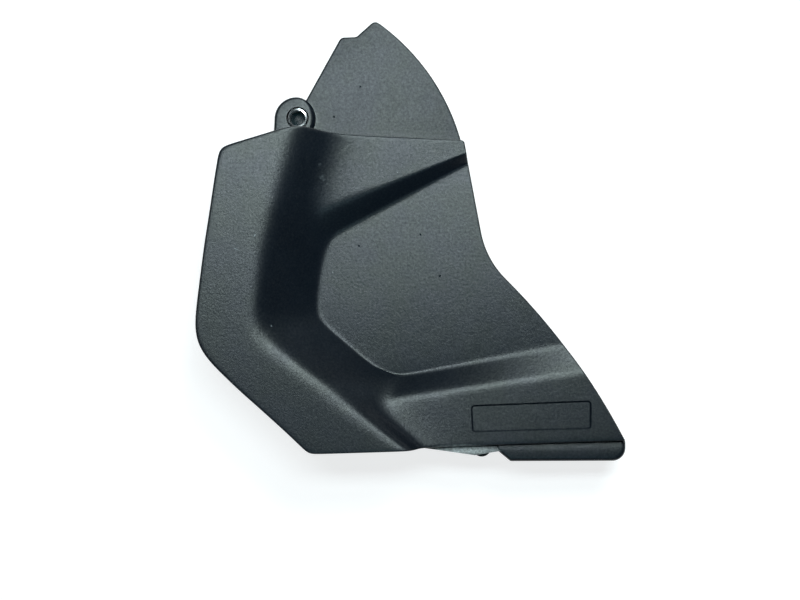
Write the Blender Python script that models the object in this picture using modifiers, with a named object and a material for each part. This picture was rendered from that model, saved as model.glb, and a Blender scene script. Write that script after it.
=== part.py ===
"""Motorcycle front sprocket cover, lying on its rear rim with the outer face up.

One deep moulded shell with a C-shaped raised panel, a wall that falls from it to a
sunk centre panel, a thin chain guard wing, a bolt ear and a stepped lip, and one
steel sleeve in the ear. Sizes are in millimetres and become metres as meshes are made.
"""

import math
from collections import namedtuple

import bmesh
import bpy
from mathutils import Vector
from mathutils.bvhtree import BVHTree

MM = 0.001
COLLECTION = "sprocket_cover"

# Heights of the outer faces above the rear plane
PANEL_Z = 42.0
FIN_ROOT_Z = 31.0
FIN_TIP_Z = 28.0
POCKET_Z = 24.0
LOW_ROOT_Z = 32.5
LOW_TIP_Z = 28.0
WING_Z = 6.0
EAR_Z = 9.0

# Shell
WALL = 2.5
DRAFT_DEG = 1.0
RIM_ALLOWANCE = 14.0
EXIT_ALLOWANCE = 5.0
FLAT_ALLOWANCE = 0.7
SMOOTHING = 2
EDGE_CREASE = 1.0
SOFT_CREASE = 0.6
CORNER_CREASE = 0.45

# Open side where the chain leaves: straight, a hollow sweep, then a long full one
EXIT_KNEE = (30.2, -8.0)
EXIT_KNEE_RADIUS = 37.4
EXIT_SHOULDER = (40.2, -18.0)
EXIT_SWEEP_RADIUS = 272.0
EXIT_CORNER = 1.4

# Bolt ear and steel sleeve
EAR_FROM_RIDGE = (-0.7, 5.8)
EAR_RADIUS = 9.0
EAR_ROUND = 1.2
EAR_HEEL = (-0.4, -2.6)
EAR_FLARE = 3.0
EAR_FLARE_REACH = (-8.0, -2.3)
SLEEVE_DIAMETER = 9.0
SLEEVE_WALL = 1.3
SLEEVE_PROUD = 0.4
SLEEVE_CHAMFER = 0.4
FIT_GAP = 0.3

# Wing, the flat guard beside the chain
WING_THICKNESS = 2.5
WING_RADIUS = 93.0
WING_SHOULDER = (17.8, 40.5)
WING_STEP = (24.4, 40.7)
WING_PEAK = (32.4, 47.8)
WING_ROUND = 2.6
WING_HEEL = (2.0, 12.2)
WING_TAIL = (-0.8, 1.9)
WING_RIB = 1.8
WING_RIB_SPACING = 14.0
WING_RIB_ENDS = ((20.0, 36.0), (33.0, 42.0), (48.0, 24.0))

# Lip that steps down from the lower edge: a thin strip, then the wider foot
LIP_STEP = 3.0
FOOT_REACH = 8.8
FOOT_START = 36.1
FOOT_THICKNESS = 5.5
FOOT_ROUND = 2.2
FOOT_LEAD = 7.0
FOOT_SLANT = 6.0
FOOT_RISE = 0.83
FOOT_PAST_TIP = 0.6
FOOT_CORNER = 5.5
STRIP_THICKNESS = 2.5
STRIP_REACH = 3.6
STRIP_HEEL = (1.0, -0.75)
STRIP_BEND = (-16.0, 0.1)
STRIP_STEP = (-5.3, 1.8)
STRIP_OVERLAP = 2.0
PEG_RADIUS = 4.1
PEG_FROM_FOOT = 13.0
PEG_INSET = 0.7
PEG_DROP = 1.2

# Shallow field on the lower panel
FIELD_CORNERS = ((23.4, -69.0), (74.1, -67.1), (74.1, -79.2), (24.0, -80.5))
FIELD_ROUND = 1.7
FIELD_DEPTH = 0.35

# Gussets in the hollow side
GUSSET = 1.8
GUSSET_SHARE = 0.7
GUSSET_FOOT_Z = 10.0
GUSSET_ROWS = (1, 3, 5, 8, 10)

# A station is one section of the shell, from the outer rim across the raised
# panel, over the ridge, down the wall to its root and on to the chain exit.
# ridge_soft and root_soft are the half-widths of the two fillets there.
Station = namedtuple("Station", "rim ridge root exit root_z exit_z ridge_soft root_soft")

STATIONS = (
    # top edge and fin
    Station((-80.6, 37.9), (-49.2, 46.9), (-28.2, 43.7), (20.8, 41.7), FIN_ROOT_Z, FIN_TIP_Z, 6.0, 7.5),
    Station((-82.7, 24.3), (-55.1, 24.3), (-34.8, 25.7), (21.1, 38.8), FIN_ROOT_Z, FIN_TIP_Z, 6.0, 7.5),
    Station((-84.8, 9.8), (-59.2, 9.4), (-40.2, 11.5), (21.5, 36.2), FIN_ROOT_Z, FIN_TIP_Z, 6.0, 6.0),
    # pocket
    Station((-86.5, -0.4), (-61.5, -0.4), (-36.3, 0.9), (22.5, 32.4), POCKET_Z, POCKET_Z, 6.0, 7.0),
    Station((-87.7, -9.5), (-63.5, -9.5), (-39.3, -9.2), (24.1, 24.0), POCKET_Z, POCKET_Z, 5.0, 7.0),
    Station((-89.7, -25.2), (-65.4, -25.2), (-41.2, -23.9), (27.6, 1.4), POCKET_Z, POCKET_Z, 4.0, 7.0),
    Station((-92.0, -43.4), (-66.0, -38.8), (-41.0, -33.1), (33.6, -13.0), POCKET_Z, POCKET_Z, 4.0, 7.0),
    Station((-78.8, -56.3), (-54.2, -47.8), (-29.2, -42.4), (47.1, -25.4), POCKET_Z, POCKET_Z, 4.0, 7.0),
    Station((-72.3, -62.5), (-45.2, -54.8), (-14.0, -52.9), (55.4, -34.4), POCKET_Z, POCKET_Z, 4.0, 7.0),
    Station((-65.7, -68.3), (-36.9, -61.4), (-4.0, -57.5), (63.5, -44.1), POCKET_Z, POCKET_Z, 4.0, 9.0),
    # lower panel
    Station((-60.7, -72.8), (-29.9, -67.0), (-12.3, -66.8), (71.8, -55.2), LOW_ROOT_Z, LOW_TIP_Z, 4.0, 9.0),
    Station((-52.5, -80.2), (-17.6, -76.2), (-4.4, -75.1), (80.9, -69.0), LOW_ROOT_Z, LOW_TIP_Z, 4.0, 8.0),
    Station((-43.6, -88.8), (-3.2, -87.5), (5.2, -86.6), (88.2, -84.0), LOW_ROOT_Z, LOW_TIP_Z, 4.0, 6.0),
)
POCKET_ROWS = [row for row, station in enumerate(STATIONS) if station.root_z == POCKET_Z]
POCKET_TOP, POCKET_FOOT = POCKET_ROWS[0], POCKET_ROWS[-1]
FIN_EDGE, BAND_FOOT = POCKET_TOP - 1, POCKET_FOOT + 1
RIM, PANEL, RIDGE, WALL_TOP, WALL_FOOT, ROOT, FLOOR, EXIT = range(8)


def clear_scene():
    for obj in list(bpy.data.objects):
        bpy.data.objects.remove(obj, do_unlink=True)


def collection(name):
    group = bpy.data.collections.new(name)
    bpy.context.scene.collection.children.link(group)
    return group


def material(name, colour, roughness, metallic=0.0):
    made = bpy.data.materials.new(name)
    made.use_nodes = True
    shader = made.node_tree.nodes["Principled BSDF"]
    shader.inputs["Base Color"].default_value = (*colour, 1.0)
    shader.inputs["Roughness"].default_value = roughness
    shader.inputs["Metallic"].default_value = metallic
    made.diffuse_color = (*colour, 1.0)
    return made


def mesh_object(name, mesh, group):
    obj = bpy.data.objects.new(name, mesh)
    group.objects.link(obj)
    return obj


def toward(start, end, distance):
    """The point at this distance from start on the way to end."""
    start, end = Vector(start), Vector(end)
    span = (end - start).length
    return start.lerp(end, min(distance / span, 0.45))


def section(station, overrun=0.0):
    """One row of the shell's cage, from the rim to the chain exit or past it."""
    rim = Vector((*station.rim, PANEL_Z))
    ridge = Vector((*station.ridge, PANEL_Z))
    root = Vector((*station.root, station.root_z))
    end = Vector((*station.exit, station.exit_z))
    end += (end - root).normalized() * overrun
    return [
        rim,
        toward(ridge, rim, station.ridge_soft),
        ridge,
        toward(ridge, root, station.ridge_soft),
        toward(root, ridge, station.root_soft),
        root,
        toward(root, end, station.root_soft),
        end,
    ]


def rim_path(rows):
    """Row and column of each cage point along the three walled sides."""
    last = len(rows) - 1
    top = [(0, column) for column in range(EXIT, RIM, -1)]
    side = [(row, RIM) for row in range(last + 1)]
    foot = [(last, column) for column in range(PANEL, EXIT + 1)]
    return top + side + foot


def outward(points, index):
    """Plan direction away from the shell at one point of its walled rim."""
    before = points[max(index - 1, 0)]
    after = points[min(index + 1, len(points) - 1)]
    along = (after - before).to_2d().normalized()
    return Vector((along.y, -along.x, 0.0))


def shell_cage():
    """Top faces and side walls of the shell as a coarse open cage."""
    rows = [section(station, EXIT_ALLOWANCE) for station in STATIONS]
    path = rim_path(rows)
    rim_points = [rows[row][column] for row, column in path]
    slope = math.tan(math.radians(DRAFT_DEG))

    bm = bmesh.new()
    bm.edges.layers.float.new("crease_edge")
    bm.verts.layers.float.new("crease_vert")
    grid = [[bm.verts.new(point * MM) for point in row] for row in rows]
    skirt = []
    for index, point in enumerate(rim_points):
        drop = point.z + RIM_ALLOWANCE
        low = point + outward(rim_points, index) * drop * slope
        low.z = -RIM_ALLOWANCE
        skirt.append(bm.verts.new(low * MM))

    for upper, lower in zip(grid, grid[1:]):
        for column in range(EXIT):
            corner = (upper[column], lower[column], lower[column + 1], upper[column + 1])
            bm.faces.new(corner)
    edge = [grid[row][column] for row, column in path]
    for index in range(len(edge) - 1):
        bm.faces.new((edge[index], skirt[index], skirt[index + 1], edge[index + 1]))
    bmesh.ops.recalc_face_normals(bm, faces=bm.faces)
    crease_cage(bm, grid, edge, skirt)
    return bm


def crease_cage(bm, grid, edge, skirt):
    """Sharp rims, a crisp pocket outline and softer panel breaks."""
    edge_layer = bm.edges.layers.float["crease_edge"]
    corner_layer = bm.verts.layers.float["crease_vert"]

    def crease(chain, value):
        for first, second in zip(chain, chain[1:]):
            bm.edges.get((first, second))[edge_layer] = value

    crease(edge, EDGE_CREASE)
    crease(skirt, EDGE_CREASE)
    crease([row[EXIT] for row in grid], EDGE_CREASE)
    crease((edge[0], skirt[0]), EDGE_CREASE)
    crease((edge[-1], skirt[-1]), EDGE_CREASE)
    crease(grid[POCKET_TOP][ROOT:], EDGE_CREASE)
    crease([row[ROOT] for row in grid[POCKET_TOP : POCKET_FOOT + 1]], EDGE_CREASE)
    crease(grid[POCKET_FOOT][ROOT:], EDGE_CREASE)
    crease(grid[FIN_EDGE][FLOOR:], EDGE_CREASE)
    crease(grid[FIN_EDGE][ROOT : FLOOR + 1], SOFT_CREASE)
    crease(grid[BAND_FOOT][FLOOR:], EDGE_CREASE)
    crease(grid[BAND_FOOT][ROOT : FLOOR + 1], SOFT_CREASE)
    for row in (0, -1):
        corner = grid[row][RIM]
        corner[corner_layer] = CORNER_CREASE
        skirt[edge.index(corner)][corner_layer] = CORNER_CREASE
    for corner in (edge[0], skirt[0], edge[-1], skirt[-1]):
        corner[corner_layer] = EDGE_CREASE


def smooth_shell(name, group):
    """The cage given its wall thickness and smoothed."""
    mesh = bpy.data.meshes.new(name)
    cage = shell_cage()
    cage.to_mesh(mesh)
    cage.free()
    obj = mesh_object(name, mesh, group)
    walls = obj.modifiers.new("walls", "SOLIDIFY")
    walls.thickness = WALL * MM
    walls.offset = -1.0
    walls.use_even_offset = True
    walls.use_quality_normals = True
    soft = obj.modifiers.new("soft", "SUBSURF")
    soft.levels = SMOOTHING
    soft.render_levels = SMOOTHING
    soft.use_limit_surface = True
    apply_modifiers(obj)
    return obj


def apply_modifiers(obj):
    """The object's evaluated mesh takes the place of its mesh and modifiers."""
    graph = bpy.context.evaluated_depsgraph_get()
    graph.update()
    made = bpy.data.meshes.new_from_object(obj.evaluated_get(graph))
    obj.modifiers.clear()
    obj.data = made


def rounded(corners, radii, steps=6):
    """A closed plan outline with each corner made an arc of its radius."""
    outline = []
    count = len(corners)
    for index, (corner, radius) in enumerate(zip(corners, radii)):
        here = Vector(corner)
        if radius <= 0:
            outline.append(here)
            continue
        back = (Vector(corners[index - 1]) - here).normalized()
        ahead = (Vector(corners[(index + 1) % count]) - here).normalized()
        half = back.angle(ahead) / 2
        reach = radius / math.tan(half)
        centre = here + (back + ahead).normalized() * radius / math.sin(half)
        first = here + back * reach - centre
        last = here + ahead * reach - centre
        turn = first.angle_signed(last)
        for step in range(steps + 1):
            angle = -turn * step / steps
            spun = Vector((
                first.x * math.cos(angle) - first.y * math.sin(angle),
                first.x * math.sin(angle) + first.y * math.cos(angle),
            ))
            outline.append(centre + spun)
    return outline


def plate(name, outline, low, high, group, rounding=0.0):
    """A flat piece between two heights, made from a filled 2D curve."""
    curve = bpy.data.curves.new(name, "CURVE")
    curve.dimensions = "2D"
    curve.fill_mode = "BOTH"
    curve.extrude = (high - low) / 2 * MM - rounding * MM
    curve.bevel_depth = rounding * MM
    curve.bevel_resolution = 2
    curve.offset = -rounding * MM
    spline = curve.splines.new("POLY")
    spline.points.add(len(outline) - 1)
    for point, place in zip(spline.points, outline):
        point.co = (place[0] * MM, place[1] * MM, 0.0, 1.0)
    spline.use_cyclic_u = True
    source = mesh_object(name, curve, group)
    source.location.z = (high + low) / 2 * MM
    bpy.context.view_layer.update()
    graph = bpy.context.evaluated_depsgraph_get()
    mesh = bpy.data.meshes.new_from_object(source.evaluated_get(graph))
    weld = bmesh.new()
    weld.from_mesh(mesh)
    bmesh.ops.remove_doubles(weld, verts=weld.verts, dist=0.01 * MM)
    bmesh.ops.recalc_face_normals(weld, faces=weld.faces)
    weld.to_mesh(mesh)
    weld.free()
    solid = bpy.data.objects.new(name, mesh)
    solid.matrix_world = source.matrix_world
    bpy.data.objects.remove(source, do_unlink=True)
    group.objects.link(solid)
    return solid


def cylinder(name, centre, radius, low, high, group, segments=40):
    mesh = bpy.data.meshes.new(name)
    bm = bmesh.new()
    bmesh.ops.create_cone(
        bm,
        cap_ends=True,
        segments=segments,
        radius1=radius * MM,
        radius2=radius * MM,
        depth=(high - low) * MM,
    )
    bm.to_mesh(mesh)
    bm.free()
    obj = mesh_object(name, mesh, group)
    obj.location = (centre[0] * MM, centre[1] * MM, (high + low) / 2 * MM)
    return obj


def combine(obj, tools, operation):
    """Joins the tools to the object, or cuts them from it, and removes them."""
    for tool in tools:
        step = obj.modifiers.new(operation.lower(), "BOOLEAN")
        step.operation = operation
        step.solver = "EXACT"
        step.object = tool
        apply_modifiers(obj)
        bpy.data.objects.remove(tool, do_unlink=True)


def top_edge():
    """Plan points of the shell's upper edge, from the rim corner to the exit."""
    return [point.to_2d() for point in section(STATIONS[0])]


def foot_edge():
    """Plan points of the shell's lower edge, from the rim corner to the exit."""
    return [point.to_2d() for point in section(STATIONS[-1])]


def exit_cutter(group):
    """Everything past the open side, bounded by that side's outline."""
    before = top_edge()[FLOOR]
    top = Vector(STATIONS[0].exit)
    tip = Vector(STATIONS[-1].exit)
    knee, shoulder = Vector(EXIT_KNEE), Vector(EXIT_SHOULDER)
    bends = [0.0, EXIT_CORNER, EXIT_KNEE_RADIUS, 0.0]
    hollow = rounded([before, top, knee, shoulder], bends)[1:-1]
    sweep = arc(circle_from(shoulder, tip, EXIT_SWEEP_RADIUS), shoulder, tip, 16)
    over = 4 * EXIT_ALLOWANCE
    above = hollow[0] + Vector((0.0, over))
    below = tip + (tip - sweep[-2]).normalized() * over
    far = tip.x + 2 * over
    outline = [above] + hollow + sweep + [below, Vector((far, below.y)), Vector((far, above.y))]
    return plate("past_exit", outline, -2 * RIM_ALLOWANCE, PANEL_Z + RIM_ALLOWANCE, group)


def ear_centre():
    return Vector(STATIONS[0].ridge) + Vector(EAR_FROM_RIDGE)


def circle_from(start, end, radius):
    """Centre of the circle of this radius through both points, on the right of the way."""
    middle = (start + end) / 2
    along = end - start
    side = Vector((along.y, -along.x)).normalized()
    return middle + side * math.sqrt(max(radius**2 - (along.length / 2) ** 2, 0.0))


def arc(centre, start, end, steps):
    """Points on the way round the centre from start to end, the short way."""
    first = start - centre
    turn = -first.angle_signed(end - centre)
    points = []
    for step in range(steps + 1):
        angle = turn * step / steps
        points.append(centre + Vector((
            first.x * math.cos(angle) - first.y * math.sin(angle),
            first.x * math.sin(angle) + first.y * math.cos(angle),
        )))
    return points


def inside_edge(points, depth):
    """The edge's points moved into the shell, where a plate is buried in its wall."""
    return [point - Vector((0.0, depth)) for point in points]


def wing_outline():
    """Rounded shoulder, step and peak, then one long arc back to the shell's corner."""
    ridge = Vector(STATIONS[0].ridge)
    end = Vector(STATIONS[0].exit) + Vector(WING_TAIL)
    peak = ridge + Vector(WING_PEAK)
    centre = circle_from(peak, end, WING_RADIUS)
    long_way = arc(centre, peak, end, 22)
    corners = [
        ridge + Vector(WING_HEEL),
        ridge + Vector(WING_SHOULDER),
        ridge + Vector(WING_STEP),
        peak,
        long_way[2],
    ]
    head = rounded(corners, [0.0, WING_ROUND, WING_ROUND, WING_ROUND, 0.0])
    buried = inside_edge(top_edge()[RIDGE:], WALL / 2)
    return head[:-1] + long_way[2:] + buried[::-1]


def ear_outline():
    """A round end over straight sides that run down into the shell, the left one flared."""
    centre = ear_centre()
    round_end = [
        centre + Vector((math.cos(angle), math.sin(angle))) * EAR_RADIUS
        for angle in (math.pi * step / 20 for step in range(21))
    ]
    depth = EAR_FROM_RIDGE[1]
    left = round_end[-1] + Vector(EAR_HEEL) - Vector((0.0, depth))
    right = round_end[0] - Vector((0.0, depth + WALL / 2))
    flare = left + Vector(EAR_FLARE_REACH)
    buried = flare - Vector((0.0, WALL / 2))
    foot = rounded([round_end[-1], left, flare], [0.0, EAR_FLARE, 0.0])[1:-1]
    return round_end + foot + [flare, buried, right]


def foot_outline():
    """The wide end of the lip, with a slanted start and a rounded end."""
    edge = foot_edge()
    tip = edge[EXIT]
    low = tip.y - FOOT_REACH
    inner = tip.y + WALL / 2
    start = edge[ROOT].x + FOOT_START - FOOT_LEAD
    end = tip.x + FOOT_PAST_TIP
    corners = [
        (start, inner),
        (start, low + FOOT_SLANT * FOOT_RISE),
        (start + FOOT_SLANT, low),
        (end, low),
        (end, inner),
    ]
    return rounded(corners, [0.0, 0.0, 0.0, FOOT_CORNER, 0.0])


def strip_outline():
    """The thin start of the lip, widening from the wall's root to the foot."""
    edge = foot_edge()
    foot = edge[ROOT] + Vector((FOOT_START, -STRIP_REACH))
    step = foot + Vector(STRIP_STEP)
    last = foot.x + STRIP_OVERLAP
    return [
        edge[RIDGE] + Vector((0.0, WALL / 2)),
        edge[ROOT] + Vector(STRIP_HEEL),
        foot + Vector(STRIP_BEND),
        step,
        Vector((last, step.y)),
        Vector((last, edge[ROOT].y + WALL / 2)),
    ]


def lip_plate(name, outline, thickness, group, rounding=0.0):
    """A plate whose top keeps one step below the lower panel's sloping edge."""
    last = STATIONS[-1]
    slope = (last.exit_z - last.root_z) / (last.exit[0] - last.root[0])
    made = plate(name, outline, -thickness, 0.0, group, rounding)
    for vert in made.data.vertices:
        vert.co.z += (last.root_z - LIP_STEP - last.root[0] * slope) * MM
        vert.co.z += vert.co.x * slope
    return made


def field_cutter(obj, group):
    """A plate whose flat floor lies just under the outer face of the lower panel."""
    skin = bmesh.new()
    skin.from_mesh(obj.data)
    tree = BVHTree.FromBMesh(skin)
    skin.free()
    bm = bmesh.new()
    floor = []
    for place in rounded(FIELD_CORNERS, [FIELD_ROUND] * len(FIELD_CORNERS), 3):
        above = Vector((place.x, place.y, 2 * PANEL_Z)) * MM
        face = tree.ray_cast(above, Vector((0.0, 0.0, -1.0)))[0]
        floor.append(bm.verts.new(face - Vector((0.0, 0.0, FIELD_DEPTH * MM))))
    lifted = bmesh.ops.extrude_face_region(bm, geom=[bm.faces.new(floor)])
    for item in lifted["geom"]:
        if isinstance(item, bmesh.types.BMVert):
            item.co.z += LIP_STEP * MM
    bmesh.ops.triangulate(bm, faces=bm.faces)
    bmesh.ops.recalc_face_normals(bm, faces=bm.faces)
    mesh = bpy.data.meshes.new("field")
    bm.to_mesh(mesh)
    bm.free()
    return mesh_object("field", mesh, group)


def wing_ribs(group):
    """Webs that fan out under the wing and carry it down to the rear plane."""
    ridge = Vector(STATIONS[0].ridge)
    root = Vector(STATIONS[0].root)
    made = []
    for index, reach in enumerate(WING_RIB_ENDS):
        start = root + Vector((WING_RIB_SPACING * index, -WALL / 2))
        end = ridge + Vector(reach)
        side = (end - start).orthogonal().normalized() * WING_RIB / 2
        outline = [start + side, start - side, end - side, end + side]
        top = WING_Z - WING_THICKNESS / 2
        made.append(plate(f"wing_rib_{index}", outline, -FLAT_ALLOWANCE, top, group))
    return made


def gusset(name, station, group):
    """A triangular web between the side wall and the underside of the raised panel."""
    base = Vector(station.rim)
    inward = Vector(station.ridge) - base
    reach = inward.length * GUSSET_SHARE
    inward.normalize()
    across = inward.orthogonal() * GUSSET / 2
    top = PANEL_Z - WALL / 2
    profile = [
        (WALL / 2, GUSSET_FOOT_Z),
        (reach, top),
        (WALL / 2, top),
    ]
    bm = bmesh.new()
    sides = []
    for shift in (across, -across):
        ring = []
        for distance, height in profile:
            place = base + inward * distance + shift
            ring.append(bm.verts.new(Vector((place.x, place.y, height)) * MM))
        sides.append(ring)
    web = bm.faces.new(sides[0])
    back = bm.faces.new(sides[1][::-1])
    bmesh.ops.bridge_loops(bm, edges=list(web.edges) + list(back.edges))
    bmesh.ops.recalc_face_normals(bm, faces=bm.faces)
    mesh = bpy.data.meshes.new(name)
    bm.to_mesh(mesh)
    bm.free()
    return mesh_object(name, mesh, group)


def box(name, low, high, group):
    mesh = bpy.data.meshes.new(name)
    bm = bmesh.new()
    bmesh.ops.create_cube(bm, size=1.0)
    size = Vector(high) - Vector(low)
    middle = (Vector(high) + Vector(low)) / 2
    for vert in bm.verts:
        vert.co = Vector((
            (middle.x + vert.co.x * size.x) * MM,
            (middle.y + vert.co.y * size.y) * MM,
            (middle.z + vert.co.z * size.z) * MM,
        ))
    bm.to_mesh(mesh)
    bm.free()
    return mesh_object(name, mesh, group)


def below(name, top, group):
    """Everything under a height."""
    reach = 2 * WING_RADIUS
    return box(name, (-reach, -reach, -reach), (reach, reach, top), group)


def cover(group, cutters):
    """The whole moulding in one body."""
    obj = smooth_shell("cover_moulding", group)
    rough = below("rough_below", -2 * FLAT_ALLOWANCE, cutters)
    combine(obj, [exit_cutter(cutters), rough, field_cutter(obj, cutters)], "DIFFERENCE")

    strip_end = foot_edge()[ROOT].x + FOOT_START
    peg = (strip_end - PEG_FROM_FOOT, foot_edge()[EXIT].y - STRIP_REACH + PEG_INSET)
    peg_top = LOW_TIP_Z - LIP_STEP - PEG_DROP
    additions = [
        plate("wing", wing_outline(), WING_Z - WING_THICKNESS, WING_Z, cutters),
        plate("ear", ear_outline(), -FLAT_ALLOWANCE, EAR_Z, cutters, EAR_ROUND),
        lip_plate("foot", foot_outline(), FOOT_THICKNESS, cutters, FOOT_ROUND),
        lip_plate("strip", strip_outline(), STRIP_THICKNESS, cutters),
        cylinder("peg", peg, PEG_RADIUS, -FLAT_ALLOWANCE, peg_top, cutters, 24),
    ]
    additions += [gusset(f"gusset_{row}", STATIONS[row], cutters) for row in GUSSET_ROWS]
    additions += wing_ribs(cutters)
    combine(obj, additions, "UNION")

    seat_radius = SLEEVE_DIAMETER / 2 + FIT_GAP
    seat = cylinder("seat", ear_centre(), seat_radius, -EAR_Z, 2 * EAR_Z, cutters)
    combine(obj, [seat, below("below", 0.0, cutters)], "DIFFERENCE")
    obj.data.shade_smooth()
    obj.data.set_sharp_from_angle(angle=math.radians(32))
    obj.data.materials.clear()
    obj.data.materials.append(material("moulded_plastic", (0.045, 0.052, 0.055), 0.5))
    return obj


def sleeve(group):
    """Steel sleeve in the ear, a turned profile with chamfered ends."""
    top = EAR_Z + SLEEVE_PROUD
    outer = SLEEVE_DIAMETER / 2
    bore = outer - SLEEVE_WALL
    profile = [
        (outer - SLEEVE_CHAMFER, top),
        (outer, top - SLEEVE_CHAMFER),
        (outer, SLEEVE_CHAMFER),
        (outer - SLEEVE_CHAMFER, 0.0),
        (bore, 0.0),
        (bore, top),
    ]
    mesh = bpy.data.meshes.new("sleeve")
    bm = bmesh.new()
    ring = [bm.verts.new((x * MM, 0.0, z * MM)) for x, z in profile]
    for index, vert in enumerate(ring):
        bm.edges.new((vert, ring[(index + 1) % len(ring)]))
    bm.to_mesh(mesh)
    bm.free()
    obj = mesh_object("sleeve", mesh, group)
    obj.location = (ear_centre() * MM).to_3d()
    turn = obj.modifiers.new("turn", "SCREW")
    turn.angle = math.tau
    turn.steps = 40
    turn.render_steps = 40
    turn.use_merge_vertices = True
    turn.merge_threshold = 0.00001
    mesh.materials.append(material("zinc_steel", (0.55, 0.56, 0.57), 0.35, 1.0))
    return obj


def stand_on_origin(objects):
    """Puts the origin under the middle of the whole part, on its rear plane."""
    bpy.context.view_layer.update()
    corners = [obj.matrix_world @ Vector(corner) for obj in objects for corner in obj.bound_box]
    low = Vector([min(corner[axis] for corner in corners) for axis in range(3)])
    high = Vector([max(corner[axis] for corner in corners) for axis in range(3)])
    shift = Vector(((low.x + high.x) / 2, (low.y + high.y) / 2, low.z))
    for obj in objects:
        obj.location -= shift


def main():
    clear_scene()
    group = collection(COLLECTION)
    cutters = collection("cutters")
    stand_on_origin([cover(group, cutters), sleeve(group)])


main()
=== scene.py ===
"""Looks of the sprocket cover: one fine moulding and its steel sleeve in place of the
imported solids, a pale floor, three lamps and the photograph's camera.

Sizes are in millimetres and become metres as meshes are made.
"""

import math
from collections import namedtuple

import bmesh
import bpy
from mathutils import Matrix, Vector, geometry
from mathutils.bvhtree import BVHTree


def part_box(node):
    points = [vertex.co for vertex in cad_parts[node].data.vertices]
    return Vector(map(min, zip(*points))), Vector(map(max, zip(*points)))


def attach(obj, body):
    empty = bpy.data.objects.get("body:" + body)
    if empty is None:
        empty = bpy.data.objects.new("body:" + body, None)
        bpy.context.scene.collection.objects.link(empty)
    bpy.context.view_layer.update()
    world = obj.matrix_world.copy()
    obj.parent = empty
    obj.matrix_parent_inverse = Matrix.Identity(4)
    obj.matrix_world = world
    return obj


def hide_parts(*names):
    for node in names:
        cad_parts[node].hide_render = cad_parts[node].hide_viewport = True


MM = 0.001

# Heights of the outer faces above the rear plane
PANEL_Z = 42.0
FIN_ROOT_Z = 31.0
FIN_TIP_Z = 28.0
POCKET_Z = 24.0
LOW_ROOT_Z = 32.5
LOW_TIP_Z = 28.0
WING_Z = 6.0
EAR_Z = 9.0

# Shell
WALL = 2.5
DRAFT_DEG = 1.0
RIM_ALLOWANCE = 14.0
EXIT_ALLOWANCE = 5.0
FLAT_ALLOWANCE = 0.7
EDGE_HOLD = 1.8
HOLD_SHRINK = 0.15
POCKET_SIDE_CREASE = (0.35, 0.56)
POCKET_END_CREASE = 0.6
POCKET_CROWN = 0.9
POCKET_CROWN_POWER = 1.5
LOW_SAG = 1.1
SOFT_CREASE = 0.42
BORDER_CREASE = 1.0
TOP_CORNER_HOLD = 6.0
TOP_CREST = 0.45
FOOT_CORNER_HOLD = 4.5
CORNER_SHARE = 0.42
EXIT_CHAMFER = 0.5

# Open side where the chain leaves
EXIT_KNEE = (30.2, -8.0)
EXIT_KNEE_RADIUS = 37.4
EXIT_SHOULDER = (40.2, -18.0)
EXIT_SWEEP_RADIUS = 272.0
EXIT_CORNER = 1.4

# Bolt ear and steel sleeve
EAR_FROM_RIDGE = (-0.7, 5.8)
EAR_RADIUS = 9.3
EAR_ASIDE = (-0.6, -0.3)
EAR_SLANT = 2.2
EAR_UNDERCUT_DEG = 42.0
EAR_ROUND = 1.2
EAR_HEEL = (-0.4, -2.6)
EAR_FLARE = 3.0
EAR_FLARE_REACH = (-8.0, -2.3)
SLEEVE_DIAMETER = 9.0
SLEEVE_WALL = 1.3
SLEEVE_PROUD = 0.4
SLEEVE_CHAMFER = 0.4
SLEEVE_LIP = 0.15
SLEEVE_CONE = (0.6, 0.18)
SLEEVE_FALL = 0.6
FIT_GAP = 0.3

# Wing
WING_THICKNESS = 2.5
WING_RADIUS = 93.0
WING_SHOULDER = (17.8, 40.5)
WING_STEP = (24.4, 40.7)
WING_PEAK = (32.4, 47.78)
WING_ROUND = 2.6
WING_EDGE = 0.8
WING_LEAN_DEG = 2.0
WING_HEEL = (2.0, 12.2)
WING_TAIL = (-0.8, 1.9)
WING_RIB = 1.8
WING_RIB_SPACING = 14.0
WING_RIB_ENDS = ((20.0, 36.0), (33.0, 42.0), (48.0, 24.0))

# Lip that steps down from the lower edge: a thin strip, then the wider crowned foot
LIP_STEP = 3.0
FOOT_REACH = 8.8
FOOT_START = 36.1
FOOT_THICKNESS = 5.5
FOOT_LEAD = 7.0
FOOT_SLANT = 6.0
FOOT_RISE = 0.83
FOOT_PAST_TIP = 0.6
FOOT_BEND = 1.5
FOOT_CORNER = 5.5
FOOT_CROWN = 0.68
FOOT_CREST = 0.6
FOOT_EDGE = 1.6
STRIP_THICKNESS = 2.5
STRIP_TILT_DEG = 11.0
STRIP_REACH = 3.6
STRIP_HEEL = (1.0, -0.75)
STRIP_BEND = (-16.0, 0.1)
STRIP_STEP = (-5.3, 1.8)
STRIP_OVERLAP = 2.0
PEG_RADIUS = 4.1
PEG_FROM_FOOT = 13.0
PEG_INSET = 0.7
PEG_DROP = 1.2

# Gussets in the hollow side
GUSSET = 1.8
GUSSET_SHARE = 0.7
GUSSET_FOOT_Z = 10.0
GUSSET_ROWS = (1, 3, 5, 8, 10)

# Recessed field on the lower panel
FIELD_CORNERS = ((23.4, -69.0), (74.1, -67.1), (74.1, -79.2), (24.0, -80.5))
FIELD_ROUND = 1.7
FIELD_DEPTH = 0.6
FIELD_ABOVE = 1.2
FIELD_SLOPE = 1.25

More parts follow.
